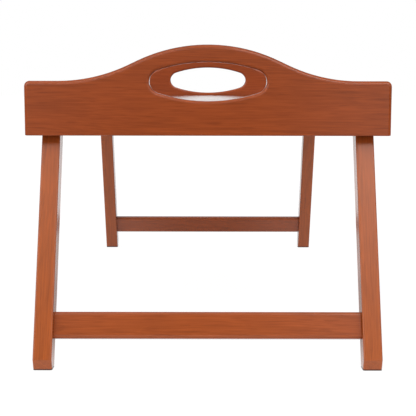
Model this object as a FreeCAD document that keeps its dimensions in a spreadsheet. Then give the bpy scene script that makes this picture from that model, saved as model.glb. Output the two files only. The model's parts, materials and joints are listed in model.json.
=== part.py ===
"""Breakfast tray for use in bed, on two folding leg frames.

Millimetres, +Z up. The origin is on the ground under the middle of the tray. The front end looks towards -Y,
the left side towards -X. The legs stand spread, and each frame folds inwards under the floor.
"""
import FreeCAD
import Part
import Sketcher
import math
import os

# Driving sizes: name, value, meaning.
DRIVING = (
    ("tray_length", 500.0, "length over the two end panels"),
    ("tray_width", 300.0, "width of an end panel"),
    ("lap_height", 181.5, "ground to the lower edge of the tray"),
    ("well_depth", 19.4, "floor to the panel's shoulders"),
    ("panel_thickness", 12.0, "end panel"),
    ("panel_corner_radius", 4.5, "upper corners of an end panel"),
    ("panel_edge_radius", 2.9, "rounded sides and top of an end panel"),
    ("panel_foot_radius", 1.0, "rounded lower edge of an end panel"),
    ("shoulder_flat", 27.3, "level shoulder from the panel's side to the arch"),
    ("arch_rise", 29.4, "crest of the arch above the shoulders"),
    ("arch_run", 9.0, "straight stretch between the hollow and the crest"),
    ("handle_length", 96.0, "handle hole"),
    ("handle_height", 31.8, "handle hole"),
    ("handle_end_radius", 9.8, "ends of the handle hole"),
    ("handle_sill", 3.0, "lower edge of the handle hole above the floor"),
    ("handle_edge_radius", 2.0, "rounded rim of the handle hole"),
    ("rail_thickness", 10.0, "side rail"),
    ("rail_reveal", 1.5, "rail set back from the panel's outline"),
    ("rail_edge_radius", 1.5, "rounded long edges of a rail"),
    ("floor_thickness", 4.0, "plywood floor"),
    ("groove_depth", 5.0, "groove that holds the floor"),
    ("groove_slack", 0.15, "groove wider than the floor, each face"),
    ("floor_end_gap", 0.5, "floor edge to the bottom of its groove"),
    ("dowel_diameter", 6.0, "corner dowel"),
    ("dowel_hole_depth", 7.0, "depth in the panel and in the rail"),
    ("dowel_end_gap", 0.4, "glue room at each end of a dowel"),
    ("dowel_chamfer", 0.8, "ends of a dowel"),
    ("glue_fit", 0.02, "hole larger than what is glued into it, on the radius"),
    ("leg_width", 15.0, "leg, across the tray"),
    ("leg_depth", 18.0, "leg, along the tray"),
    ("leg_splay", 21.8, "leg from the vertical, in degrees"),
    ("leg_edge_radius", 1.4, "rounded edges of a leg"),
    ("bevel_height", 9.0, "bevel on the toe, above the ground"),
    ("bevel_depth", 6.9, "bevel on the toe, along the ground"),
    ("heel_radius", 1.7, "inner edge of the foot"),
    ("stop_clearance", 0.3, "open leg to the panel edge that stops it"),
    ("fold_clearance", 1.55, "folded leg to the floor, and to the panel's lower edge"),
    ("stretcher_level", 32.2, "middle of the stretcher above the ground"),
    ("stretcher_height", 21.4, "stretcher, along the leg"),
    ("stretcher_thickness", 8.0, "stretcher"),
    ("stretcher_edge_radius", 2.5, "rounded long edges of a stretcher"),
    ("stretcher_end_radius", 0.4, "eased ends of a stretcher"),
    ("tenon_length", 8.0, "tenon in the leg"),
    ("tenon_cheek", 2.0, "stretcher face to the tenon"),
    ("tenon_haunch", 4.0, "stretcher edge to the tenon"),
    ("tenon_end_gap", 0.4, "glue room at the end of a tenon"),
    ("shoulder_diameter", 5.0, "bearing part of the pivot bolt"),
    ("running_fit", 0.05, "leg bore larger than the bolt, on the radius"),
    ("head_diameter", 9.5, "bolt head"),
    ("head_height", 2.8, "bolt head"),
    ("head_edge_radius", 1.2, "rounded edge of the bolt head"),
    ("socket_flats", 3.0, "hexagon socket, across flats"),
    ("socket_depth", 1.6, "hexagon socket"),
    ("thread_diameter", 4.0, "bolt thread"),
    ("thread_length", 6.0, "bolt thread"),
    ("insert_diameter", 6.4, "threaded insert in the rail"),
    ("insert_length", 6.5, "threaded insert"),
    ("insert_end_gap", 0.3, "insert to the bottom of its hole"),
    ("washer_diameter", 12.0, "spacer and head washer"),
    ("washer_fit", 0.1, "washer bore larger than the bolt, on the radius"),
    ("spacer_thickness", 0.7, "washer between rail and leg"),
    ("head_washer_thickness", 0.8, "washer under the bolt head"),
    ("side_play", 0.3, "leg to the washer on each side of it"),
)

# Sizes that follow from the driving ones.
DERIVED = (
    ("inner_half_length", "=tray_length / 2 - panel_thickness", "middle to a panel's inner face"),
    ("rail_inner_x", "=tray_width / 2 - rail_reveal - rail_thickness", "middle to a rail's inner face"),
    ("rail_middle_x", "=rail_inner_x + rail_thickness / 2", "middle to a rail's centre plane"),
    ("floor_under", "=leg_depth + 2 * fold_clearance", "panel's lower edge to the floor's underside"),
    ("floor_top", "=floor_under + floor_thickness", "panel's lower edge to the floor's top"),
    ("groove_low", "=floor_under - groove_slack", "lower side of the groove"),
    ("groove_high", "=floor_top + groove_slack", "upper side of the groove"),
    ("shoulder_height", "=floor_top + well_depth", "panel's lower edge to the shoulders"),
    ("rail_height", "=shoulder_height - 2 * rail_reveal", "side rail"),
    ("arch_span", "=tray_width / 2 - shoulder_flat", "middle to the foot of the arch"),
    ("arch_lean", "=arch_rise / (arch_span + arch_run)", "tangent of half the arch's slope"),
    ("arch_sine", "=2 * arch_lean / (1 + arch_lean ^ 2)", "sine of the slope"),
    ("arch_cosine", "=(1 - arch_lean ^ 2) / (1 + arch_lean ^ 2)", "cosine of the slope"),
    ("arch_radius", "=(arch_span - arch_run * arch_cosine) / arch_sine / 2", "hollow and crest alike"),
    ("handle_centre", "=floor_top + handle_sill + handle_height / 2", "above the panel's lower edge"),
    ("handle_half", "=handle_length / 2 - handle_end_radius", "middle to an end's centre"),
    ("handle_side_radius",
     "=((handle_height / 2) ^ 2 + handle_half ^ 2 - handle_end_radius ^ 2)"
     " / (handle_height - 2 * handle_end_radius)", "long sides of the handle hole"),
    ("handle_join", "=handle_side_radius / (handle_side_radius - handle_end_radius)", "place of the tangent point"),
    ("handle_join_u", "=handle_half * handle_join", "tangent point along the hole"),
    ("handle_join_v",
     "=handle_end_radius * (handle_side_radius - handle_height / 2)"
     " / (handle_side_radius - handle_end_radius)", "tangent point across the hole"),
    ("lower_dowel", "=(rail_reveal + floor_under) / 2", "above the panel's lower edge"),
    ("upper_dowel", "=(floor_top + shoulder_height - rail_reveal) / 2", "above the panel's lower edge"),
    ("dowel_length", "=2 * (dowel_hole_depth - dowel_end_gap)", "corner dowel"),
    ("pivot_rise", "=fold_clearance + leg_depth / 2", "pivot above the panel's lower edge"),
    ("pivot_z", "=lap_height + pivot_rise", "pivot above the ground"),
    ("pivot_inset",
     "=(leg_depth / 2 + stop_clearance + panel_foot_radius * (1 - cos(leg_splay))"
     " + (pivot_rise - panel_foot_radius) * sin(leg_splay)) / cos(leg_splay)",
     "pivot behind the panel, where the open leg meets the panel's rounded lower edge"),
    ("pivot_y", "=inner_half_length - pivot_inset", "middle to a pivot"),
    ("leg_x", "=rail_inner_x - spacer_thickness - side_play - leg_width / 2", "middle to a leg's centre plane"),
    ("leg_inner_x", "=leg_x - leg_width / 2", "middle to a leg's inner face"),
    ("toe_reach", "=(pivot_z + leg_depth / 2 * sin(leg_splay)) / cos(leg_splay)", "pivot to the toe"),
    ("heel_reach", "=(pivot_z - leg_depth / 2 * sin(leg_splay)) / cos(leg_splay)", "pivot to the heel"),
    ("bevel_top", "=toe_reach - bevel_height / cos(leg_splay)", "pivot to the upper edge of the toe's bevel"),
    ("bevel_foot", "=toe_reach - bevel_depth * sin(leg_splay)", "pivot to the lower edge of the toe's bevel"),
    ("bevel_inset", "=bevel_depth * cos(leg_splay)", "outer face to the lower edge of the toe's bevel"),
    ("stretcher_drop", "=(pivot_z - stretcher_level) / cos(leg_splay)", "pivot to the stretcher"),
    ("stretcher_y", "=pivot_y + stretcher_drop * sin(leg_splay)", "middle to a stretcher"),
    ("tenon_thickness", "=stretcher_thickness - 2 * tenon_cheek", "tenon"),
    ("tenon_height", "=stretcher_height - 2 * tenon_haunch", "tenon"),
    ("grip", "=spacer_thickness + leg_width + 2 * side_play + head_washer_thickness", "rail to the bolt head"),
    ("insert_hole_depth", "=insert_length + insert_end_gap", "blind hole in the rail"),
)

doc = FreeCAD.newDocument("BreakfastTray")
sheet = doc.addObject("Spreadsheet::Sheet", "Dim")
parts = []


def fill_sheet():
    """Writes each size, its alias and its meaning on a row of its own."""
    for row, (alias, value, meaning) in enumerate(DRIVING + DERIVED, start=1):
        sheet.set(f"A{row}", meaning)
        sheet.set(f"B{row}", str(value))
        sheet.setAlias(f"B{row}", alias)
    doc.recompute()


def number(expression):
    """The present value of an expression on the sheet's sizes."""
    return float(sheet.evalExpression(expression))


def bind(target, name, expression):
    """Ties a property to the sheet; a plain zero needs no tie."""
    if expression != "0":
        target.setExpression(name, expression)


def new_body(label):
    body = doc.addObject("PartDesign::Body", label)
    body.Label = label
    parts.append(body)
    return body


def new_sketch(body, role, name, offset="0"):
    """A sketch on one of the body's own planes, moved along that plane's normal."""
    sketch = body.newObject("Sketcher::SketchObject", f"{body.Label}_{name}")
    plane = [feature for feature in body.Origin.OriginFeatures if feature.Role == role][0]
    sketch.AttachmentSupport = [(plane, "")]
    sketch.MapMode = "FlatFace"
    sketch.AttachmentOffset = FreeCAD.Placement(FreeCAD.Vector(0, 0, number(offset)), FreeCAD.Rotation())
    bind(sketch, "AttachmentOffset.Base.z", offset)
    return sketch


def constrain(sketch, expression, kind, *references):
    """Adds one dimension to a sketch and ties it to the sheet."""
    index = sketch.addConstraint(Sketcher.Constraint(kind, *references, number(expression)))
    bind(sketch, f"Constraints[{index}]", expression)


def pin(sketch, geometry, point, u, v):
    """Dimensions a point from the sketch's origin."""
    constrain(sketch, u, "DistanceX", -1, 1, geometry, point)
    constrain(sketch, v, "DistanceY", -1, 1, geometry, point)


def arc_between(start, end, radius, hollow):
    """The shorter arc of a counter-clockwise outline; a hollow one bends into the outline."""
    chord = end - start
    to_left = FreeCAD.Vector(-chord.y, chord.x, 0).normalize()
    height = math.sqrt(max(radius ** 2 - (chord.Length / 2) ** 2, 0))
    centre = (start + end) / 2 + to_left * (-height if hollow else height)
    first, last = (end, start) if hollow else (start, end)
    first_angle = math.atan2(first.y - centre.y, first.x - centre.x)
    last_angle = math.atan2(last.y - centre.y, last.x - centre.x)
    circle = Part.Circle(centre, FreeCAD.Vector(0, 0, 1), radius)
    return Part.ArcOfCircle(circle, first_angle, last_angle)


def outline(sketch, corners):
    """A closed counter-clockwise outline.

    A corner is (u, v), or (u, v, radius) where an arc leads to the next corner, or (u, v, radius, "hollow").
    """
    first = sketch.GeometryCount
    points = [FreeCAD.Vector(number(corner[0]), number(corner[1]), 0) for corner in corners]
    ends = []
    for index, corner in enumerate(corners):
        start = points[index]
        end = points[(index + 1) % len(points)]
        hollow = len(corner) == 4
        if len(corner) == 2:
            geometry = sketch.addGeometry(Part.LineSegment(start, end))
        else:
            geometry = sketch.addGeometry(arc_between(start, end, number(corner[2]), hollow))
        ends.append((2, 1) if hollow else (1, 2))
    for index, corner in enumerate(corners):
        geometry = first + index
        following = (index + 1) % len(corners)
        sketch.addConstraint(Sketcher.Constraint(
            "Coincident", geometry, ends[index][1], first + following, ends[following][0]))
        pin(sketch, geometry, ends[index][0], corner[0], corner[1])
        if len(corner) > 2:
            constrain(sketch, corner[2], "Radius", geometry)


def circle(sketch, u, v, radius):
    centre = FreeCAD.Vector(number(u), number(v), 0)
    geometry = sketch.addGeometry(Part.Circle(centre, FreeCAD.Vector(0, 0, 1), number(radius)))
    pin(sketch, geometry, 3, u, v)
    constrain(sketch, radius, "Radius", geometry)


def slot(sketch, width, height, middle="0"):
    """An upright slot with round ends, on the sketch's vertical axis."""
    radius = f"({width}) / 2"
    high = f"{middle} + ({height}) / 2"
    low = f"{middle} - ({height}) / 2"
    outline(sketch, (
        (f"-{radius}", f"{low} + {radius}", radius),
        ("0", low, radius),
        (radius, f"{low} + {radius}"),
        (radius, f"{high} - {radius}", radius),
        ("0", high, radius),
        (f"-{radius}", f"{high} - {radius}"),
    ))


def pad(body, sketch, name, length, both_ways=False):
    feature = body.newObject("PartDesign::Pad", f"{body.Label}_{name}")
    feature.Profile = sketch
    feature.setExpression("Length", length)
    feature.Midplane = both_ways
    doc.recompute()
    return feature


def pocket(body, sketch, name, depth=None, along_normal=False):
    """Cuts a sketch to a depth, or right through both ways, and makes sure that it cut something."""
    before = body.Shape.Volume
    feature = body.newObject("PartDesign::Pocket", f"{body.Label}_{name}")
    feature.Profile = sketch
    if depth is None:
        feature.Type = "ThroughAll"
        feature.Midplane = True
    else:
        feature.setExpression("Length", depth)
        feature.Reversed = along_normal
    doc.recompute()
    if not body.Shape.Volume < before:
        raise RuntimeError(f"{feature.Label} cuts nothing")
    return feature


def revolve(body, sketch, name):
    """A full turn of a half profile about the sketch's horizontal axis."""
    feature = body.newObject("PartDesign::Revolution", f"{body.Label}_{name}")
    feature.Profile = sketch
    feature.ReferenceAxis = (sketch, ["H_Axis"])
    feature.Angle = 360
    doc.recompute()
    return feature


def mirror(body, feature, role, name):
    """Repeats a feature on the other side of one of the body's own planes."""
    plane = [item for item in body.Origin.OriginFeatures if item.Role == role][0]
    copy = body.newObject("PartDesign::Mirrored", f"{body.Label}_{name}")
    copy.Originals = [feature]
    copy.MirrorPlane = (plane, [""])
    body.Tip = copy
    doc.recompute()


def round_edges(body, name, radius, wanted):
    """Rounds the edges whose bounding box passes a test."""
    base = body.Tip
    edges = [f"Edge{index}" for index, edge in enumerate(base.Shape.Edges, start=1) if wanted(edge.BoundBox)]
    if not edges:
        raise RuntimeError(f"{body.Label}: no edges for {name}")
    feature = body.newObject("PartDesign::Fillet", f"{body.Label}_{name}")
    feature.Base = (base, edges)
    feature.setExpression("Radius", radius)
    doc.recompute()


def place(body, x="0", y="0", z="0", yaw="0", roll="0"):
    """Puts a body in the tray: turned by roll about X, then by yaw about Z, then moved."""
    body.setExpression(
        "Placement",
        f"create(<<placement>>; create(<<vector>>; {x}; {y}; {z}); create(<<rotation>>; {yaw}; 0; {roll}))")


def near(value, target):
    return abs(value - target) < 1e-4


def flat_in(size):
    return size < 1e-4


def end_panel(label, yaw, side):
    """An end panel: inner face on the body's XZ plane, arched top, oval handle hole, groove, dowel holes."""
    body = new_body(label)
    half = "Dim.tray_width / 2"
    shoulder = "Dim.shoulder_height"
    hollow_u = "(Dim.arch_span - Dim.arch_radius * Dim.arch_sine)"
    hollow_v = f"{shoulder} + Dim.arch_radius * (1 - Dim.arch_cosine)"
    crest_u = "Dim.arch_radius * Dim.arch_sine"
    crest_v = f"{shoulder} + Dim.arch_rise - Dim.arch_radius * (1 - Dim.arch_cosine)"
    profile = new_sketch(body, "XZ_Plane", "profile")
    outline(profile, (
        (f"-{half}", "0"),
        (half, "0"),
        (half, shoulder),
        ("Dim.arch_span", shoulder, "Dim.arch_radius", "hollow"),
        (hollow_u, hollow_v),
        (crest_u, crest_v, "Dim.arch_radius"),
        (f"-{crest_u}", crest_v),
        (f"-{hollow_u}", hollow_v, "Dim.arch_radius", "hollow"),
        ("-Dim.arch_span", shoulder),
        (f"-{half}", shoulder),
    ))
    pad(body, profile, "blank", "Dim.panel_thickness")
    side_x = number("Dim.tray_width / 2")
    round_edges(body, "corners", "Dim.panel_corner_radius",
                lambda box: flat_in(box.XLength) and flat_in(box.ZLength) and near(abs(box.XMin), side_x)
                and not near(box.ZMin, 0))
    round_edges(body, "edges", "Dim.panel_edge_radius", lambda box: flat_in(box.YLength) and not near(box.ZMax, 0))
    round_edges(body, "foot", "Dim.panel_foot_radius", lambda box: flat_in(box.ZLength) and near(box.ZMin, 0))

    hole = new_sketch(body, "XZ_Plane", "handle_hole")
    join_u = "Dim.handle_join_u"
    above = "Dim.handle_centre + Dim.handle_join_v"
    below = "Dim.handle_centre - Dim.handle_join_v"
    outline(hole, (
        (join_u, below, "Dim.handle_end_radius"),
        (join_u, above, "Dim.handle_side_radius"),
        (f"-{join_u}", above, "Dim.handle_end_radius"),
        (f"-{join_u}", below, "Dim.handle_side_radius"),
    ))
    pocket(body, hole, "handle_cut")
    reach_x = number("Dim.handle_length / 2") + 1e-3
    low = number("Dim.handle_centre - Dim.handle_height / 2") - 1e-3
    high = number("Dim.handle_centre + Dim.handle_height / 2") + 1e-3
    round_edges(body, "handle_rim", "Dim.handle_edge_radius",
                lambda box: flat_in(box.YLength) and max(-box.XMin, box.XMax) < reach_x
                and box.ZMin > low and box.ZMax < high)

    groove_half = "(Dim.rail_inner_x + Dim.groove_depth)"
    groove = new_sketch(body, "XZ_Plane", "groove")
    outline(groove, (
        (f"-{groove_half}", "Dim.groove_low"),
        (groove_half, "Dim.groove_low"),
        (groove_half, "Dim.groove_high"),
        (f"-{groove_half}", "Dim.groove_high"),
    ))
    pocket(body, groove, "groove_cut", "Dim.groove_depth", along_normal=True)

    holes = new_sketch(body, "XZ_Plane", "dowel_holes")
    for u in ("-Dim.rail_middle_x", "Dim.rail_middle_x"):
        for v in ("Dim.lower_dowel", "Dim.upper_dowel"):
            circle(holes, u, v, "Dim.dowel_diameter / 2 + Dim.glue_fit")
    pocket(body, holes, "dowel_cut", "Dim.dowel_hole_depth", along_normal=True)
    place(body, y=f"{side}Dim.inner_half_length", z="Dim.lap_height", yaw=yaw)


def side_rail(label, yaw, side):
    """A side rail: inner face on the body's YZ plane, grooved section, dowel holes, holes for the inserts."""
    body = new_body(label)
    low = "Dim.rail_reveal"
    high = "Dim.rail_reveal + Dim.rail_height"
    section = new_sketch(body, "XZ_Plane", "section")
    outline(section, (
        ("-Dim.rail_thickness", low),
        ("0", low),
        ("0", "Dim.groove_low"),
        ("-Dim.groove_depth", "Dim.groove_low"),
        ("-Dim.groove_depth", "Dim.groove_high"),
        ("0", "Dim.groove_high"),
        ("0", high),
        ("-Dim.rail_thickness", high),
    ))
    pad(body, section, "moulding", "2 * Dim.inner_half_length", both_ways=True)
    levels = (number(low), number(high))
    round_edges(body, "edges", "Dim.rail_edge_radius",
                lambda box: flat_in(box.XLength) and flat_in(box.ZLength)
                and any(near(box.ZMin, level) for level in levels))

    holes = new_sketch(body, "XZ_Plane", "dowel_holes", "-Dim.inner_half_length")
    for v in ("Dim.lower_dowel", "Dim.upper_dowel"):
        circle(holes, "-Dim.rail_thickness / 2", v, "Dim.dowel_diameter / 2 + Dim.glue_fit")
    cut = pocket(body, holes, "dowel_cut", "Dim.dowel_hole_depth", along_normal=True)
    mirror(body, cut, "XZ_Plane", "dowel_cut_other_end")

    seats = new_sketch(body, "YZ_Plane", "insert_holes")
    for u in ("-Dim.pivot_y", "Dim.pivot_y"):
        circle(seats, u, "Dim.pivot_rise", "Dim.insert_diameter / 2 + Dim.glue_fit")
    pocket(body, seats, "insert_cut", "Dim.insert_hole_depth")
    place(body, x=f"{side}Dim.rail_inner_x", z="Dim.lap_height", yaw=yaw)


def tray_floor():
    """The plywood floor, loose in the grooves of the panels and rails."""
    body = new_body("tray_floor")
    reach = "Dim.groove_depth - Dim.floor_end_gap"
    half_x = f"(Dim.rail_inner_x + {reach})"
    half_y = f"(Dim.inner_half_length + {reach})"
    sheet_outline = new_sketch(body, "XY_Plane", "outline")
    outline(sheet_outline, (
        (f"-{half_x}", f"-{half_y}"),
        (half_x, f"-{half_y}"),
        (half_x, half_y),
        (f"-{half_x}", half_y),
    ))
    pad(body, sheet_outline, "sheet", "Dim.floor_thickness")
    place(body, z="Dim.lap_height + Dim.floor_under")


def corner_dowel(label, x_side, y_side, level):
    """A chamfered dowel along Y, half in the panel and half in the rail."""
    body = new_body(label)
    radius = "Dim.dowel_diameter / 2"
    end = "Dim.dowel_length / 2"
    profile = new_sketch(body, "XY_Plane", "half_profile")
    outline(profile, (
        (f"-{end}", "0"),
        (end, "0"),
        (end, f"{radius} - Dim.dowel_chamfer"),
        (f"{end} - Dim.dowel_chamfer", radius),
        (f"-{end} + Dim.dowel_chamfer", radius),
        (f"-{end}", f"{radius} - Dim.dowel_chamfer"),
    ))
    revolve(body, profile, "turning")
    place(body, f"{x_side}Dim.rail_middle_x", f"{y_side}Dim.inner_half_length", f"Dim.lap_height + {level}", yaw="90")


def leg(label, x_side, y_side, yaw, inner):
    """A leg about its pivot: round top, bevelled foot that stands flat, bore for the bolt, stretcher's mortise.

    The outer face looks along the body's -Y, and inner is the sign of the side that carries the mortise.
    """
    body = new_body(label)
    half = "Dim.leg_depth / 2"
    profile = new_sketch(body, "YZ_Plane", "profile")
    outline(profile, (
        (f"-{half}", "-Dim.bevel_top"),
        (f"-{half} + Dim.bevel_inset", "-Dim.bevel_foot"),
        (half, "-Dim.heel_reach"),
        (half, "0", half),
        ("0", half, half),
        (f"-{half}", "0"),
    ))
    pad(body, profile, "blank", "Dim.leg_width", both_ways=True)
    heel = number("-Dim.heel_reach")
    round_edges(body, "heel", "Dim.heel_radius",
                lambda box: flat_in(box.YLength) and flat_in(box.ZLength) and near(box.ZMin, heel))
    round_edges(body, "edges", "Dim.leg_edge_radius", lambda box: flat_in(box.XLength))

    bore = new_sketch(body, "YZ_Plane", "bore")
    circle(bore, "0", "0", "Dim.shoulder_diameter / 2 + Dim.running_fit")
    pocket(body, bore, "bore_cut")

    mortise = new_sketch(body, "YZ_Plane", "mortise", f"{inner} * Dim.leg_width / 2")
    slot(mortise, "Dim.tenon_thickness + 2 * Dim.glue_fit", "Dim.tenon_height + 2 * Dim.glue_fit",
         "-Dim.stretcher_drop")
    pocket(body, mortise, "mortise_cut", "Dim.tenon_length + Dim.tenon_end_gap", along_normal=inner < 0)
    place(body, f"{x_side}Dim.leg_x", f"{y_side}Dim.pivot_y", "Dim.pivot_z", yaw, "-Dim.leg_splay")


def stretcher(label, y_side, yaw):
    """The slat between two legs: rounded along its length, eased at its ends, with a round-edged tenon at each."""
    body = new_body(label)
    half_y = "Dim.stretcher_thickness / 2"
    half_z = "Dim.stretcher_height / 2"
    section = new_sketch(body, "YZ_Plane", "section")
    outline(section, (
        (f"-{half_y}", f"-{half_z}"),
        (half_y, f"-{half_z}"),
        (half_y, half_z),
        (f"-{half_y}", half_z),
    ))
    pad(body, section, "slat", "2 * Dim.leg_inner_x", both_ways=True)
    round_edges(body, "long_edges", "Dim.stretcher_edge_radius",
                lambda box: flat_in(box.YLength) and flat_in(box.ZLength))
    round_edges(body, "ends", "Dim.stretcher_end_radius", lambda box: flat_in(box.XLength))
    tenon = new_sketch(body, "YZ_Plane", "tenon", "Dim.leg_inner_x")
    slot(tenon, "Dim.tenon_thickness", "Dim.tenon_height")
    mirror(body, pad(body, tenon, "tenon_right", "Dim.tenon_length"), "YZ_Plane", "tenon_left")
    place(body, "0", f"{y_side}Dim.stretcher_y", "Dim.stretcher_level", yaw, "-Dim.leg_splay")


def pivot_bolt(label, x_side, y_side, yaw):
    """A shoulder bolt along X: thread in the rail's insert, shoulder through the leg, head on the inner side."""
    body = new_body(label)
    thread = "Dim.thread_diameter / 2"
    bearing = "Dim.shoulder_diameter / 2"
    head = "Dim.head_diameter / 2"
    head_end = "Dim.grip + Dim.head_height"
    profile = new_sketch(body, "XY_Plane", "half_profile")
    outline(profile, (
        ("-Dim.thread_length", "0"),
        (head_end, "0"),
        (head_end, f"{head} - Dim.head_edge_radius", "Dim.head_edge_radius"),
        (f"{head_end} - Dim.head_edge_radius", head),
        ("Dim.grip", head),
        ("Dim.grip", bearing),
        ("0", bearing),
        ("0", thread),
        ("-Dim.thread_length", thread),
    ))
    revolve(body, profile, "turning")
    socket = new_sketch(body, "YZ_Plane", "socket", head_end)
    outline(socket, [
        (f"Dim.socket_flats / sqrt(3) * cos({angle})", f"Dim.socket_flats / sqrt(3) * sin({angle})")
        for angle in range(0, 360, 60)
    ])
    pocket(body, socket, "socket_cut", "Dim.socket_depth")
    place(body, f"{x_side}Dim.rail_inner_x", f"{y_side}Dim.pivot_y", "Dim.pivot_z", yaw)


def ring(label, x_side, y_side, yaw, bore, rim, start, length):
    """A washer or insert round the pivot: a ring along X that starts at a distance from the rail's inner face."""
    body = new_body(label)
    section = new_sketch(body, "YZ_Plane", "section", start)
    circle(section, "0", "0", rim)
    circle(section, "0", "0", bore)
    pad(body, section, "ring", length)
    place(body, f"{x_side}Dim.rail_inner_x", f"{y_side}Dim.pivot_y", "Dim.pivot_z", yaw)


def build():
    for end, y_side, end_yaw in (("front", "-", "0"), ("rear", "", "180")):
        end_panel(f"{end}_end_panel", end_yaw, y_side)
    for side, x_side, side_yaw in (("left", "-", "0"), ("right", "", "180")):
        side_rail(f"{side}_side_rail", side_yaw, x_side)
    tray_floor()
    washer_bore = "Dim.shoulder_diameter / 2 + Dim.washer_fit"
    washer_rim = "Dim.washer_diameter / 2"
    for end, y_side, end_yaw in (("front", "-", "0"), ("rear", "", "180")):
        stretcher(f"{end}_stretcher", y_side, end_yaw)
        for side, x_side, side_yaw in (("left", "-", "0"), ("right", "", "180")):
            corner = f"{end}_{side}"
            corner_dowel(f"{corner}_lower_dowel", x_side, y_side, "Dim.lower_dowel")
            corner_dowel(f"{corner}_upper_dowel", x_side, y_side, "Dim.upper_dowel")
            leg(f"{corner}_leg", x_side, y_side, end_yaw, inner=1 if side_yaw == end_yaw else -1)
            pivot = (x_side, y_side, side_yaw)
            pivot_bolt(f"{corner}_pivot_bolt", *pivot)
            ring(f"{corner}_threaded_insert", *pivot, "Dim.thread_diameter / 2 + Dim.glue_fit",
                 "Dim.insert_diameter / 2", "-Dim.insert_length", "Dim.insert_length")
            ring(f"{corner}_spacer_washer", *pivot, washer_bore, washer_rim, "0", "Dim.spacer_thickness")
            ring(f"{corner}_head_washer", *pivot, washer_bore, washer_rim,
                 "Dim.grip - Dim.head_washer_thickness", "Dim.head_washer_thickness")
    doc.recompute()


def check():
    """Stops before anything is written if an object failed or a sub-part isn't one sound solid."""
    for item in doc.Objects:
        if {"Invalid", "Error"} & set(item.State):
            raise RuntimeError(f"{item.Label} failed: {item.State}")
    for body in parts:
        if body.Shape.isNull() or not body.Shape.isValid() or len(body.Shape.Solids) != 1:
            raise RuntimeError(f"{body.Label} isn't one sound solid")


def write():
    os.makedirs("parts", exist_ok=True)
    for body in parts:
        body.Shape.exportStep(f"parts/{body.Label}.step")
        print(f"{body.Label}: {body.Shape.Volume:.1f} mm3")


fill_sheet()
build()
check()
write()
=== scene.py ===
"""Looks of a breakfast tray on folding legs: stained wood, varnished floor, plated fittings and the studio.

Metres, +Z up. The tray's front end looks towards -Y, and every piece stays where the frame puts it.
"""
import json
import math
from itertools import count

import bmesh
import bpy
from mathutils import Euler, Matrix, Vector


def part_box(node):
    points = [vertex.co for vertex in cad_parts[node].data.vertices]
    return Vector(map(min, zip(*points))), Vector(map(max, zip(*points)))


bl_info = {
    "name": "Breakfast Tray Finishes",
    "version": (1, 0, 0),
    "blender": (4, 5, 0),
    "location": "View3D > Sidebar > Tray",
    "description": "Stained wood, varnished floor, plated fittings and a white studio for a breakfast tray",
    "category": "Object",
}

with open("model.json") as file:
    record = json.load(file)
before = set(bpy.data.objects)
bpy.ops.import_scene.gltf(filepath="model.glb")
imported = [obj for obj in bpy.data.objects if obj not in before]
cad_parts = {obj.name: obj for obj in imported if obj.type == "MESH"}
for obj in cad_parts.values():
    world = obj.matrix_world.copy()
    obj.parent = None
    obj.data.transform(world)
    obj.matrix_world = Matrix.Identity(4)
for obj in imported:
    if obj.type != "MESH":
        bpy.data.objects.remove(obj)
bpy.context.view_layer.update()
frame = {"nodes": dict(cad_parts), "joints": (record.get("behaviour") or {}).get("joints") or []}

NODES = frame["nodes"]
ENDS = ("front", "rear")
SIDES = ("left", "right")
CORNERS = tuple(f"{end}_{side}" for end in ENDS for side in SIDES)
FRONT_FOLD = next(joint for joint in frame["joints"] if joint["name"] == "front_leg_fold")
PIVOT_Y = abs(FRONT_FOLD["pos_m"][1])
PIVOT_Z = FRONT_FOLD["pos_m"][2]
# A leg folds from its splay through the vertical to level.
SPLAY = math.radians(FRONT_FOLD["range_deg"][1] - 90)
QUARTER = math.pi / 2

# Turns that bring the grain to X, for boards that lie across and along the tray.
ACROSS_TRAY = (0, 0, 0)
ALONG_TRAY = (0, 0, -QUARTER)

# The heart of the tree from the middle of each kind of board, across and through it.
PANEL_HEART = (0.07, -0.012)
RAIL_HEART = (-0.05, 0.008)
FLOOR_HEART = (0.03, 0.02)
LEG_HEART = (0.05, 0.012)
STRETCHER_HEART = (0.06, -0.01)
DOWEL_HEART = (0.02, 0.01)
# The second panel and the second rail are cut this much farther on, past the heart.
HEART_STEP = 0.02

# Seeds of the patterns: where each kind of piece starts, and the step from one stained board to the next.
PANEL_SEED = 1.7
RAIL_SEED = 50
FLOOR_SEED = 91
LEG_FRAME_SEED = 120
DOWEL_SEED = 300
STEEL_SEED = 400
BRASS_SEED = 430
SEED_STEP = 20
# Where each pattern of a board starts, counted from the board's own seed.
STREAK_SEED = 3
FIBRE_SEED = 5
CLOUD_SEED = 7
PORE_SEED = 11
RUB_SEED = 13

# Sizes of the patterns along, across and through a board.
WANDER_SIZE = (0.16, 0.05, 0.05)
CLOUD_SIZE = (0.11, 0.03, 0.03)
RUB_SIZE = (0.03, 0.012, 0.012)
# How far the year rings wander, and how fast the cut leaves the heart along a board.
RING_WANDER = 0.006
CUT_SLOPE = 0.05
# How fast the grain changes through a board, as a share of its change across the rings.
GRAIN_DEPTH = 0.4
# A ring darkens late in its year: the power of the rise, and its mean.
LATE_POWER = 3.0
LATE_MEAN = 0.25
# Noise and tone both run from 0 to 1, with their middle here.
MIDDLE = 0.5

# How much each pattern of a board changes its tone, its roughness and its relief.
STREAK_TONE = 0.5
FIBRE_TONE = 2.0
CLOUD_TONE = 0.2
RING_TONE = 0.2
STREAK_ROUGHNESS = 0.06
FIBRE_RELIEF = 0.25
# The wood itself hardly shines under its varnish.
WOOD_SHINE = 0.15

# Where each mask on a board starts and where it is full.
PORE_MASK = (0.58, 0.72)
END_GRAIN_MASK = (0.75, 0.97)
ROUNDED_MASK = (0.03, 0.22)
RUB_MASK = (0.35, 0.7)
FACE_MASK = (0.5, 0.95)
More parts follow.
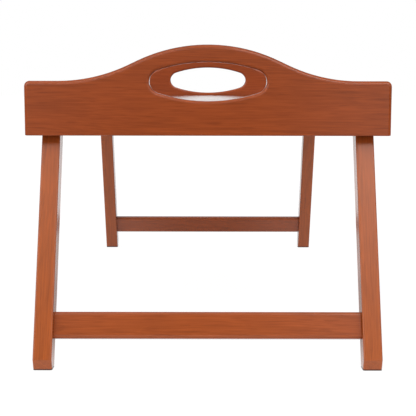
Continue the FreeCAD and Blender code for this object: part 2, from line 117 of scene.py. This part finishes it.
# How strongly a mask tells, and its colour as a share of the stain.
PORE_STRENGTH = 0.28
PORE_SHADE = 0.42
END_GRAIN_STRENGTH = 0.5
END_GRAIN_SHADE = 0.55
# Painted shade low on the legs, darker towards the ground.
LEG_SHADE_STRENGTH = 0.12
# Painted shade on the thin edge near a crest's top.
CREST_SHADE_STRENGTH = 0.4
# The colour of the painted shade on feet, low legs and crests.
DARK_SHADE = 0.3
# Paler rounded edges: partly rubbed stain, partly a painted highlight.
RUBBED_HIGHLIGHT_SHADE = 1.9

# Tarnish on the metal: size, mask, strength and colour, and the roughness that it and turning marks add.
TARNISH_SIZE = (0.003, 0.003, 0.003)
TARNISH_MASK = (0.45, 0.75)
TARNISH_STRENGTH = 0.45
TARNISH_SHADE = 0.55
TARNISH_ROUGHNESS = 0.12
MARK_ROUGHNESS = 0.25

# The studio's lit panels in front of the tray: left, right, bottom and top on the unit sphere, brightness.
LIT_PANELS = (
    (-1.1, -0.45, 0.55, 0.8, 3.15),
    (-0.45, -0.12, 0.55, 0.8, 2.53),
    (0.12, 0.45, 0.55, 0.8, 4.8),
    (0.45, 1.1, 0.55, 0.8, 2.40),
    (-1.1, -0.45, 0.3, 0.55, 2.39),
    (0.45, 1.1, 0.3, 0.55, 1.32),
    (0.12, 0.45, 0.3, 0.55, 0.38),
    (-1.1, 0.12, 0.1, 0.3, 1.75),
    (0.12, 1.1, 0.1, 0.3, 0.94),
    (-0.6, -0.16, -0.3, 0.1, 0.5),
    (-0.16, 0.0, -0.3, 0.1, 0.08),
    (0.12, 0.45, -0.3, 0.1, 0.8),
    (-1.1, 1.1, 0.8, 1.1, 1.12),
)
# The one above and behind the tray: bottom, top, brightness.
REAR_PANEL = (0.75, 1.1, 0.95)
# The white that reflections see behind the tray: where it comes in towards the back and goes out upwards.
BACKDROP_BACK = (0.3, 0.6)
BACKDROP_TOP = (0.1, 0.25)
# The ground that the tray keeps from the light: left, right, front and back of each patch.
SHADED_GROUND = ((-0.15, 0.15, -0.25, 0.1), (-0.07, 0.07, 0.1, 0.42))
# Panels and patches fade over this much to each side of their edges.
SOFT_EDGE = 0.05
WHITE = (1, 1, 1)
# The ground as it lights the tray, and in the line under a foot.
PAPER = (0.9, 0.9, 0.9)
CONTACT = (0.03, 0.03, 0.03)
# How open the ground is where that line ends, from its dark to white.
OPEN_MASK = (0.3, 0.95)
# The ground's glow and its share of the light add up to a little over white.
GROUND_WHITE = 1.05


def colour(name, description, default):
    return bpy.props.FloatVectorProperty(
        name=name, description=description, default=default, subtype="COLOR", min=0, max=1)


def length(name, description, default):
    return bpy.props.FloatProperty(
        name=name, description=description, default=default, unit="LENGTH", precision=5)


def share(name, description, default):
    return bpy.props.FloatProperty(
        name=name, description=description, default=default, subtype="FACTOR", min=0, max=1)


def angle(name, description, degrees):
    return bpy.props.FloatProperty(
        name=name, description=description, default=math.radians(degrees), subtype="ANGLE")


class TrayWood(bpy.types.PropertyGroup):
    """The stained and varnished boards."""
    stain: colour("Stain", "Colour of an end panel or rail", (0.335, 0.0636, 0.0128))
    leg_stain: colour("Leg stain", "Colour of a leg, which takes the stain more lightly",
                      (0.374, 0.0785, 0.0100))
    stretcher_stain: colour("Stretcher stain", "Colour of a stretcher", (0.318, 0.0665, 0.0142))
    floor_stain: colour("Floor stain", "Colour of the floor's face veneer", (0.24, 0.06, 0.024))
    bare: colour("Bare wood", "Unstained dowels", (0.60, 0.43, 0.26))
    contrast: share("Grain contrast", "How much darker and paler the grain is than the stain", 0.2)
    ring_width: length("Ring width", "Year rings, across the board", 0.0034)
    streak_length: length("Streak length", "Streaks along the grain", 0.06)
    streak_width: length("Streak width", "Streaks across the grain", 0.001)
    fibre_width: length("Fibre width", "Fine fibres across the grain", 0.00045)
    pore_length: length("Pore length", "Open pores along the grain", 0.02)
    pore_width: length("Pore width", "Open pores across the grain", 0.0006)
    pore_depth: length("Pore depth", "Relief of the pores under the varnish", 0.000003)
    # Height of the painted shade line along the bottom of a foot.
    foot_shade_line: length("Soaked foot", "Dark line on a foot, where its cut end drank the stain", 0.0014)
    # A leg is darker towards the ground, a painted shade.
    leg_shade_height: length("Soiled leg", "How far up from the ground a leg is slightly darker", 0.14)
    # Depth of the painted shade along a crest's thin edge.
    crest_shade: length("Gripped crest", "How far down from a crest hands have darkened the thin edge", 0.03)
    # Paler rounded edges are partly rubbed stain and partly a painted highlight.
    edge_wear_and_highlight: share("Edge wear", "How much of the stain is rubbed off rounded edges", 0.10)
    varnish: share("Varnish", "Share of the varnish over the boards", 0.75)
    edge_bare: share("Bare edge", "How much of the varnish is rubbed off rounded edges", 0.8)
    edge_dullness: share("Edge dullness", "Roughness added to the varnish on rounded edges", 0.35)
    gloss: share("Roughness", "Roughness of the varnish on the boards", 0.2)
    leg_gloss: share("Leg roughness", "Roughness of the varnish on the legs", 0.26)
    floor_gloss: share("Floor roughness", "Roughness of the varnish on the floor", 0.14)
    dowel_gloss: share("Dowel roughness", "Roughness of the dowels", 0.6)


class TrayFittings(bpy.types.PropertyGroup):
    """The pivot bolts, washers and inserts."""
    steel: colour("Steel", "Nickel plate on bolts and washers", (0.62, 0.61, 0.58))
    brass: colour("Brass", "Threaded inserts", (0.74, 0.54, 0.24))
    tool_pitch: length("Tool pitch", "Distance between turning marks", 0.00035)
    tool_depth: length("Tool depth", "Depth of the turning marks", 0.00002)
    roughness: share("Roughness", "Roughness of the turned metal", 0.28)


class TrayStage(bpy.types.PropertyGroup):
    """The camera, the light and the white ground."""
    camera_distance: length(
        "Camera distance", "Camera from the middle of the tray, along the ground", 1.09389)
    camera_height: length("Camera height", "Camera above the ground", 0.22885)
    camera_dip: angle("Camera dip", "How far the camera looks down", 7.209)
    camera_roll: angle("Camera roll", "How far the camera leans to its left", 0.08)
    field: angle("Field of view", "Across the square picture", 22.80)
    light: bpy.props.FloatProperty(
        name="Light", description="Brightness of all the studio's lit panels", default=0.96, min=0)
    ground_glow: share("Ground", "How much of the ground's white is free of shadow", 0.97)
    contact: length("Contact shadow", "Reach of the dark line where a foot stands on the ground", 0.001)
    mirrored_shade: share(
        "Mirrored shade", "How much darker the ground under the tray is where the varnish mirrors it", 0.5)
    ground_front: length("Ground front", "White ground in front of the tray's middle", 0.5)
    ground_size: length("Ground size", "White ground to each side of the tray and behind it", 6.0)


def arithmetic(operation):
    """The plain and the reflected form of an operator on wires."""
    def plain(self, other):
        return self.calculate(operation, self, other)

    def reflected(self, other):
        return self.calculate(operation, other, self)

    return plain, reflected


class Wire:
    """A socket that carries a value. Arithmetic on wires and numbers adds Math nodes to the shader."""

    def __init__(self, shader, socket):
        self.shader = shader
        self.socket = socket

    def calculate(self, operation, *values):
        return self.shader.node("ShaderNodeMath", {"operation": operation}, dict(enumerate(values)))

    __add__, __radd__ = arithmetic("ADD")
    __sub__, __rsub__ = arithmetic("SUBTRACT")
    __mul__, __rmul__ = arithmetic("MULTIPLY")
    __truediv__, __rtruediv__ = arithmetic("DIVIDE")
    __pow__, __rpow__ = arithmetic("POWER")
    __mod__, __rmod__ = arithmetic("FLOORED_MODULO")

    def __abs__(self):
        return self.calculate("ABSOLUTE", self)


class Shader:
    """The node tree of a material or of the world."""

    def __init__(self, owner):
        owner.use_nodes = True
        self.tree = owner.node_tree
        self.tree.nodes.clear()

    def node(self, kind, settings, sockets, output=0):
        """Adds a node, sets it up, feeds its sockets and returns one of its outputs."""
        node = self.tree.nodes.new(kind)
        for name, value in settings.items():
            setattr(node, name, value)
        for key, value in sockets.items():
            socket = self.socket(node.inputs, key)
            if isinstance(value, Wire):
                self.tree.links.new(value.socket, socket)
            else:
                socket.default_value = value
        return Wire(self, self.socket(node.outputs, output)) if node.outputs else None

    @staticmethod
    def socket(sockets, key):
        """A socket by its place or, among those in use, by its name."""
        shown = [socket for socket in sockets if socket.enabled]
        if isinstance(key, int):
            return shown[key]
        return next(socket for socket in shown if socket.name == key)

    def coordinates(self, output):
        return self.node("ShaderNodeTexCoord", {}, {}, output)

    def split(self, vector):
        node = self.node("ShaderNodeSeparateXYZ", {}, {0: vector}).socket.node
        return [Wire(self, socket) for socket in node.outputs]

    def height(self):
        """The height above the ground, at rest."""
        return self.split(self.coordinates("Object"))[2]

    def rays(self, *kinds):
        """1 for rays of these kinds and 0 for all others."""
        path = self.node("ShaderNodeLightPath", {}, {}).socket.node.outputs
        return self.largest(*(Wire(self, path[f"Is {kind} Ray"]) for kind in kinds))

    def noise(self, point, period, seed, detail=2.0):
        """Noise from 0 to 1 with blobs of about one period along, across and through the board."""
        scaled = self.node("ShaderNodeVectorMath", {"operation": "DIVIDE"}, {0: point, 1: period})
        return self.node("ShaderNodeTexNoise", {"noise_dimensions": "4D"},
                         {"Vector": scaled, "W": seed, "Scale": 1.0, "Detail": detail})

    def ramp(self, value, low, high):
        """A smooth step from 0 at low to 1 at high."""
        return self.node("ShaderNodeMapRange", {"interpolation_type": "SMOOTHSTEP"},
                         {"Value": value, "From Min": low, "From Max": high})

    def window(self, value, low, high):
        """1 from low to high and 0 beyond, with soft edges."""
        opened = self.ramp(value, low - SOFT_EDGE, low + SOFT_EDGE)
        return opened * (1 - self.ramp(value, high - SOFT_EDGE, high + SOFT_EDGE))

    def mix(self, factor, first, second):
        return self.node("ShaderNodeMix", {"data_type": "RGBA", "clamp_factor": True},
                         {"Factor": factor, "A": first, "B": second})

    def largest(self, *values):
        top = values[0]
        for value in values[1:]:
            top = top.calculate("MAXIMUM", top, value)
        return top

    def bump(self, height, depth):
        return self.node("ShaderNodeBump", {}, {"Height": height, "Distance": depth, "Strength": 1.0})

    def openness(self, reach):
        """1 in the open and 0 where pieces within the reach close the surface in."""
        return self.node("ShaderNodeAmbientOcclusion", {}, {"Distance": reach}, "AO")

    def finish(self, sockets):
        """A Principled surface on the material's output."""
        surface = self.node("ShaderNodeBsdfPrincipled", {}, sockets)
        self.node("ShaderNodeOutputMaterial", {}, {"Surface": surface})


def shade(base, factor=1.0):
    """A colour made darker or paler, opaque."""
    return tuple(min(channel * factor, 1.0) for channel in base) + (1.0,)


def new_material(name):
    material = bpy.data.materials.new(name)
    return material, Shader(material)


def board_axes(shader, node, turn):
    """The point and normal in the board's own axes: X along the grain, the origin at the board's middle."""
    low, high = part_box(node)
    middle = Euler(turn).to_matrix() @ ((low + high) / 2)
    point = shader.node("ShaderNodeMapping", {}, {
        "Vector": shader.coordinates("Object"), "Location": -middle, "Rotation": turn})
    normal = shader.node("ShaderNodeMapping", {"vector_type": "NORMAL"}, {
        "Vector": shader.coordinates("Normal"), "Rotation": turn})
    return point, normal


def board_grain(shader, wood, point, heart, seed):
    """Streaks, fibres and pores of a board, and the tone that they and the rings round its heart make."""
    along, across, through = shader.split(point)
    wander = shader.noise(point, WANDER_SIZE, seed) - MIDDLE
    depth = through - heart[1] + along * CUT_SLOPE
    radius = ((across - heart[0]) ** 2 + depth ** 2) ** 0.5 + wander * RING_WANDER
    late = ((radius / wood.ring_width) % 1.0) ** LATE_POWER

    grain = shader.node("ShaderNodeCombineXYZ", {}, {0: along, 1: radius, 2: through * GRAIN_DEPTH})
    streak_size = (wood.streak_length, wood.streak_width, wood.streak_width)
    fibre_size = (wood.streak_length / 2, wood.fibre_width, wood.fibre_width)
    pore_size = (wood.pore_length, wood.pore_width, wood.pore_width)
    streak = shader.noise(grain, streak_size, seed + STREAK_SEED, detail=4.0)
    fibre = shader.noise(grain, fibre_size, seed + FIBRE_SEED)
    cloud = shader.noise(point, CLOUD_SIZE, seed + CLOUD_SEED, detail=3.0)
    pores = shader.ramp(shader.noise(grain, pore_size, seed + PORE_SEED, detail=1.0), *PORE_MASK)

    tone = (MIDDLE + (streak - MIDDLE) * STREAK_TONE + (fibre - MIDDLE) * FIBRE_TONE
            + (cloud - MIDDLE) * CLOUD_TONE - (late - LATE_MEAN) * RING_TONE)
    return streak, fibre, pores, tone


def stained_wood(wood, node, stain, turn, heart, seed, roughness, rubbed=True, foot_shade_line=0.0, crest_shade=0.0):
    """Stained hardwood under varnish, with grain, end grain and rubbed edges, whose paler stain is partly a
    painted highlight.

    The varnish is thin and dull on edges where it is rubbed. A leg is a little darker towards the ground, a
    painted shade, and has a dark line of painted shade as high as the given foot height. The thin edge of a
    crest carries painted shade as far down from its top as the given crest depth.
    """
    material, shader = new_material(f"{node}_wood")
    point, normal = board_axes(shader, node, turn)
    streak, fibre, pores, tone = board_grain(shader, wood, point, heart, seed)
    stained = shader.mix(tone, shade(stain, 1 - wood.contrast), shade(stain, 1 + wood.contrast))
    pored = shader.mix(pores * PORE_STRENGTH, stained, shade(stain, PORE_SHADE))

    faces = shader.split(normal)
    end_grain = shader.ramp(abs(faces[0]), *END_GRAIN_MASK)
    ends = shader.mix(end_grain * END_GRAIN_STRENGTH, pored, shade(stain, END_GRAIN_SHADE))
    rounded = shader.ramp(1 - shader.largest(*(abs(face) for face in faces)), *ROUNDED_MASK)
    rub = shader.ramp(shader.noise(point, RUB_SIZE, seed + RUB_SEED, detail=4.0), *RUB_MASK)
    # Rounded edges go paler in patches: rubbed stain and a painted highlight.
    worn = shader.mix(rounded * rub * wood.edge_wear_and_highlight, ends, shade(stain, RUBBED_HIGHLIGHT_SHADE))
    if foot_shade_line:
        height = shader.height()
        # Painted shade: a leg darkens towards the ground.
        low_down = 1 - shader.ramp(height, 0.0, wood.leg_shade_height)
        worn = shader.mix(low_down * LEG_SHADE_STRENGTH, worn, shade(stain, DARK_SHADE))
        # A dark line of painted shade along the bottom of the foot.
        worn = shader.mix(1 - shader.ramp(height, foot_shade_line / 2, foot_shade_line), worn, shade(stain, DARK_SHADE))
    # Painted shade along the top of a crest's rounded edge, which faces away from the lights in front.
    if crest_shade:
        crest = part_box(node)[1].z
        crest_band = shader.ramp(shader.height(), crest - crest_shade, crest - crest_shade / 2)
        thin_edge = 1 - shader.ramp(abs(faces[1]), *FACE_MASK)
        worn = shader.mix(crest_band * thin_edge * CREST_SHADE_STRENGTH, worn, shade(stain, DARK_SHADE))

    rough = roughness + (streak - MIDDLE) * STREAK_ROUGHNESS
    coat = wood.varnish
    if rubbed:
        rough = rough + rounded * wood.edge_dullness
        coat = (1 - rounded * wood.edge_bare) * wood.varnish
    shader.finish({
        "Base Color": worn, "Roughness": rough, "Specular IOR Level": WOOD_SHINE,
        "Normal": shader.bump(fibre * FIBRE_RELIEF - pores, wood.pore_depth),
        "Coat Weight": coat, "Coat Roughness": roughness,
    })
    return material


def turned_metal(fittings, name, base, seed):
    """Plated or plain metal with turning marks round the pivots and a little tarnish."""
    material, shader = new_material(name)
    point = shader.coordinates("Object")
    x, y, z = shader.split(point)
    reach = ((abs(y) - PIVOT_Y) ** 2 + (z - PIVOT_Z) ** 2) ** 0.5
    marks = shader.node("ShaderNodeTexNoise", {"noise_dimensions": "2D"}, {
        "Vector": shader.node("ShaderNodeCombineXYZ", {}, {
            0: reach / fittings.tool_pitch, 1: x / fittings.tool_pitch}),
        "Scale": 1.0, "Detail": 2.0})
    tarnish = shader.ramp(shader.noise(point, TARNISH_SIZE, seed, detail=4.0), *TARNISH_MASK)
    shader.finish({
        "Base Color": shader.mix(tarnish * TARNISH_STRENGTH, shade(base), shade(base, TARNISH_SHADE)),
        "Metallic": 1.0,
        "Roughness": fittings.roughness + (marks - MIDDLE) * MARK_ROUGHNESS + tarnish * TARNISH_ROUGHNESS,
        "Normal": shader.bump(marks, fittings.tool_depth),
    })
    return material


def dress(node, material):
    NODES[node].material_slots[0].material = material


class TRAY_OT_finish_end_panels(bpy.types.Operator):
    """Stains and varnishes the two arched end panels, grain across the tray"""
    bl_idname = "tray.finish_end_panels"
    bl_label = "Finish End Panels"

    def execute(self, context):
        wood = context.scene.tray_wood
        across, through = PANEL_HEART
        for place, end in enumerate(ENDS):
            node = f"{end}_end_panel"
            dress(node, stained_wood(
                wood, node, wood.stain, ACROSS_TRAY, (across, through + HEART_STEP * place),
                PANEL_SEED + SEED_STEP * place, wood.gloss, crest_shade=wood.crest_shade))
        return {"FINISHED"}


class TRAY_OT_finish_side_rails(bpy.types.Operator):
    """Stains and varnishes the two side rails, grain along the tray"""
    bl_idname = "tray.finish_side_rails"
    bl_label = "Finish Side Rails"

    def execute(self, context):
        wood = context.scene.tray_wood
        across, through = RAIL_HEART
        for place, side in enumerate(SIDES):
            node = f"{side}_side_rail"
            dress(node, stained_wood(
                wood, node, wood.stain, ALONG_TRAY, (across, through - HEART_STEP * place),
                RAIL_SEED + SEED_STEP * place, wood.gloss))
        return {"FINISHED"}


class TRAY_OT_finish_floor(bpy.types.Operator):
    """Stains the plywood floor and gives it a glossier varnish, grain along the tray"""
    bl_idname = "tray.finish_floor"
    bl_label = "Finish Floor"

    def execute(self, context):
        wood = context.scene.tray_wood
        node = "tray_floor"
        dress(node, stained_wood(
            wood, node, wood.floor_stain, ALONG_TRAY, FLOOR_HEART, FLOOR_SEED, wood.floor_gloss))
        return {"FINISHED"}


class TRAY_OT_finish_leg_frames(bpy.types.Operator):
    """Stains and varnishes the legs, grain along each leg, and the stretchers, grain across the tray"""
    bl_idname = "tray.finish_leg_frames"
    bl_label = "Finish Leg Frames"

    def execute(self, context):
        wood = context.scene.tray_wood
        seeds = count(LEG_FRAME_SEED, SEED_STEP)
        for end, tilt in zip(ENDS, (SPLAY, -SPLAY)):
            for side in SIDES:
                node = f"{end}_{side}_leg"
                dress(node, stained_wood(
                    wood, node, wood.leg_stain, (tilt, QUARTER, 0), LEG_HEART, next(seeds), wood.leg_gloss,
                    rubbed=False, foot_shade_line=wood.foot_shade_line))
            node = f"{end}_stretcher"
            dress(node, stained_wood(
                wood, node, wood.stretcher_stain, (tilt, 0, 0), STRETCHER_HEART, next(seeds), wood.gloss))
        return {"FINISHED"}


class TRAY_OT_finish_dowels(bpy.types.Operator):
    """Leaves the corner dowels bare, grain along the tray"""
    bl_idname = "tray.finish_dowels"
    bl_label = "Finish Dowels"

    def execute(self, context):
        wood = context.scene.tray_wood
        for place, corner in enumerate(CORNERS):
            for level in ("lower", "upper"):
                node = f"{corner}_{level}_dowel"
                dress(node, stained_wood(
                    wood, node, wood.bare, ALONG_TRAY, DOWEL_HEART, DOWEL_SEED + place, wood.dowel_gloss))
        return {"FINISHED"}


class TRAY_OT_finish_pivots(bpy.types.Operator):
    """Plates the pivot bolts and washers and gives the threaded inserts their brass"""
    bl_idname = "tray.finish_pivots"
    bl_label = "Finish Pivots"

    def execute(self, context):
        fittings = context.scene.tray_fittings
        steel = turned_metal(fittings, "turned_steel", fittings.steel, STEEL_SEED)
        brass = turned_metal(fittings, "turned_brass", fittings.brass, BRASS_SEED)
        for corner in CORNERS:
            for piece in ("pivot_bolt", "spacer_washer", "head_washer"):
                dress(f"{corner}_{piece}", steel)
            dress(f"{corner}_threaded_insert", brass)
        return {"FINISHED"}


def white_paper(stage):
    """White that shows the tray's shadow and a dark line under each foot. From below it is clear."""
    material, shader = new_material("white_ground")
    x, y, _ = shader.split(shader.coordinates("Object"))
    under_tray = sum(shader.window(x, left, right) * shader.window(y, front, back)
                     for left, right, front, back in SHADED_GROUND)
    mirrored = shader.rays("Glossy") * under_tray * stage.mirrored_shade
    in_the_open = shader.ramp(shader.openness(stage.contact), *OPEN_MASK)
    tone = shader.mix(in_the_open * (1 - mirrored), shade(CONTACT), shade(WHITE))
    glow = shader.node("ShaderNodeEmission", {}, {"Color": tone, "Strength": stage.ground_glow})
    rest = shade(WHITE, GROUND_WHITE - stage.ground_glow)
    shadow = shader.node("ShaderNodeBsdfDiffuse", {}, {"Color": rest})

    white = shader.node("ShaderNodeAddShader", {}, {0: shadow, 1: glow})
    paper = shader.node("ShaderNodeBsdfDiffuse", {}, {"Color": shade(PAPER)})
    seen = shader.rays("Camera", "Glossy", "Transmission")
    top = shader.node("ShaderNodeMixShader", {}, {0: seen, 1: paper, 2: white})
    below = shader.node("ShaderNodeNewGeometry", {}, {}, "Backfacing")
    clear = shader.node("ShaderNodeBsdfTransparent", {}, {})
    surface = shader.node("ShaderNodeMixShader", {}, {0: below, 1: top, 2: clear})
    shader.node("ShaderNodeOutputMaterial", {}, {"Surface": surface})
    return material


def white_ground(stage):
    """A white ground that ends in front of the tray."""
    mesh = bpy.data.meshes.new("ground")
    shape = bmesh.new()
    bmesh.ops.create_grid(shape, size=stage.ground_size)
    bmesh.ops.translate(shape, verts=shape.verts, vec=(0, stage.ground_size - stage.ground_front, 0))
    shape.to_mesh(mesh)
    shape.free()
    mesh.materials.append(white_paper(stage))
    ground = bpy.data.objects.new("ground", mesh)
    bpy.context.scene.collection.objects.link(ground)


def white_surround(stage):
    """White to the eye and, behind the tray, to reflections. It lights the tray from its lit panels."""
    world = bpy.data.worlds.new("white_surround")
    bpy.context.scene.world = world
    shader = Shader(world)
    x, y, z = shader.split(shader.coordinates("Generated"))
    rear = shader.ramp(y, -SOFT_EDGE, SOFT_EDGE)
    front = 1 - rear
    bottom, top, brightness = REAR_PANEL
    room = rear * shader.window(z, bottom, top) * brightness
    for left, right, bottom, top, brightness in LIT_PANELS:
        room = room + front * shader.window(x, left, right) * shader.window(z, bottom, top) * brightness
    seen = shader.rays("Camera", "Transmission")
    behind = shader.rays("Glossy") * shader.ramp(y, *BACKDROP_BACK) * (1 - shader.ramp(z, *BACKDROP_TOP))
    strength = shader.largest(seen, behind, room * stage.light)
    surface = shader.node("ShaderNodeBackground", {}, {"Color": shade(WHITE), "Strength": strength})
    shader.node("ShaderNodeOutputWorld", {}, {"Surface": surface})


class TRAY_OT_set_stage(bpy.types.Operator):
    """Sets up the white ground, the lit surround and the camera"""
    bl_idname = "tray.set_stage"
    bl_label = "Set Stage"

    def execute(self, context):
        scene = context.scene
        stage = scene.tray_stage
        scene.view_settings.view_transform = "Standard"
        white_ground(stage)
        white_surround(stage)
        lens = bpy.data.cameras.new("camera")
        lens.sensor_fit = "HORIZONTAL"
        lens.angle = stage.field
        camera = bpy.data.objects.new("camera", lens)
        camera.location = (0, -stage.camera_distance, stage.camera_height)
        camera.rotation_euler = (QUARTER - stage.camera_dip, -stage.camera_roll, 0)
        scene.collection.objects.link(camera)
        scene.camera = camera
        return {"FINISHED"}


STEPS = (
    TRAY_OT_finish_end_panels,
    TRAY_OT_finish_side_rails,
    TRAY_OT_finish_floor,
    TRAY_OT_finish_leg_frames,
    TRAY_OT_finish_dowels,
    TRAY_OT_finish_pivots,
    TRAY_OT_set_stage,
)


class TRAY_PT_finishes(bpy.types.Panel):
    """The tray's finishes and its studio"""
    bl_idname = "TRAY_PT_finishes"
    bl_label = "Breakfast Tray"
    bl_space_type = "VIEW_3D"
    bl_region_type = "UI"
    bl_category = "Tray"

    def draw(self, context):
        for step in STEPS:
            self.layout.operator(step.bl_idname)
        for settings in (context.scene.tray_wood, context.scene.tray_fittings, context.scene.tray_stage):
            box = self.layout.box()
            for name in settings.bl_rna.properties.keys():
                if name not in ("rna_type", "name"):
                    box.prop(settings, name)


SETTINGS = (("tray_wood", TrayWood), ("tray_fittings", TrayFittings), ("tray_stage", TrayStage))


def register():
    for name, group in SETTINGS:
        bpy.utils.register_class(group)
        setattr(bpy.types.Scene, name, bpy.props.PointerProperty(type=group))
    for item in STEPS + (TRAY_PT_finishes,):
        bpy.utils.register_class(item)


def unregister():
    for item in reversed(STEPS + (TRAY_PT_finishes,)):
        bpy.utils.unregister_class(item)
    for name, group in reversed(SETTINGS):
        delattr(bpy.types.Scene, name)
        bpy.utils.unregister_class(group)


def main():
    register()
    bpy.ops.tray.finish_end_panels()
    bpy.ops.tray.finish_side_rails()
    bpy.ops.tray.finish_floor()
    bpy.ops.tray.finish_leg_frames()
    bpy.ops.tray.finish_dowels()
    bpy.ops.tray.finish_pivots()
    bpy.ops.tray.set_stage()


if __name__ == "__main__":
    main()
